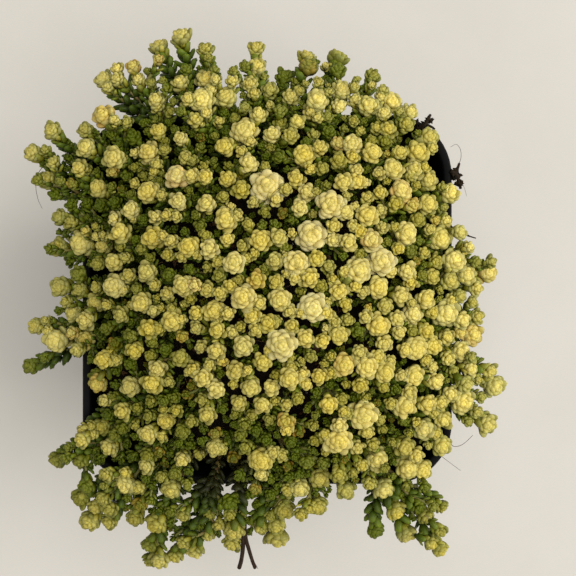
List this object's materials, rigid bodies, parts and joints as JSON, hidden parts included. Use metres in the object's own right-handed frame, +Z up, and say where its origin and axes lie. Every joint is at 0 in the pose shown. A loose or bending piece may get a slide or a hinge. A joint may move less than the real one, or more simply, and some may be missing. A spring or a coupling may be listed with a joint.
{
  "type": "potted sedum",
  "caption": "Golden stonecrop, a low dome of small fleshy leaf rosettes, overflowing a square tapered nursery pot that stands on its flat base.",
  "frame": {"origin": "centre of the pot's flat base, on the surface that it stands on", "axes": "+Z up along the pot's axis, +X to the right and +Y to the top of the view from above"},
  "size_m": [0.1403, 0.1598, 0.1514],
  "materials": {
    "black_plastic": "moulded, faintly glossy black",
    "potting_mix": "crumbly peat and bark, dark brown",
    "sedum": "fleshy leaves, golden yellow to green, satin",
    "dried_root": "dry dark bark"
  },
  "bodies": {
    "root": {"pot": "black_plastic", "soil": "potting_mix", "dried_root": "dried_root", "rim_spray_01": "sedum", "rim_spray_02": "sedum", "rim_spray_03": "sedum", "rim_spray_04": "sedum", "rim_spray_05": "sedum", "rim_spray_06": "sedum", "rim_spray_07": "sedum", "rim_spray_08": "sedum", "rim_spray_09": "sedum", "rim_spray_10": "sedum", "rim_spray_11": "sedum", "rim_spray_12": "sedum", "rim_spray_13": "sedum", "rim_spray_14": "sedum", "rim_spray_15": "sedum", "rim_spray_16": "sedum", "rim_spray_17": "sedum", "rim_spray_18": "sedum", "rim_spray_19": "sedum", "rim_spray_20": "sedum", "rim_spray_21": "sedum", "rim_spray_22": "sedum", "rim_spray_23": "sedum", "rim_spray_24": "sedum", "rim_spray_25": "sedum", "rim_spray_26": "sedum", "rim_spray_27": "sedum", "rim_spray_28": "sedum", "rim_spray_29": "sedum", "rim_spray_30": "sedum", "rim_spray_31": "sedum", "rim_spray_32": "sedum", "rim_spray_33": "sedum", "rim_spray_34": "sedum", "rim_spray_35": "sedum", "inner_spray_01": "sedum", "inner_spray_02": "sedum", "inner_spray_03": "sedum", "inner_spray_04": "sedum", "inner_spray_05": "sedum", "inner_spray_06": "sedum", "inner_spray_07": "sedum", "inner_spray_08": "sedum", "inner_spray_09": "sedum", "inner_spray_10": "sedum", "inner_spray_11": "sedum", "inner_spray_12": "sedum", "inner_spray_13": "sedum", "inner_spray_14": "sedum", "inner_spray_15": "sedum", "inner_spray_16": "sedum", "inner_spray_17": "sedum", "inner_spray_18": "sedum", "inner_spray_19": "sedum", "inner_spray_20": "sedum"}
  },
  "joints": []
}
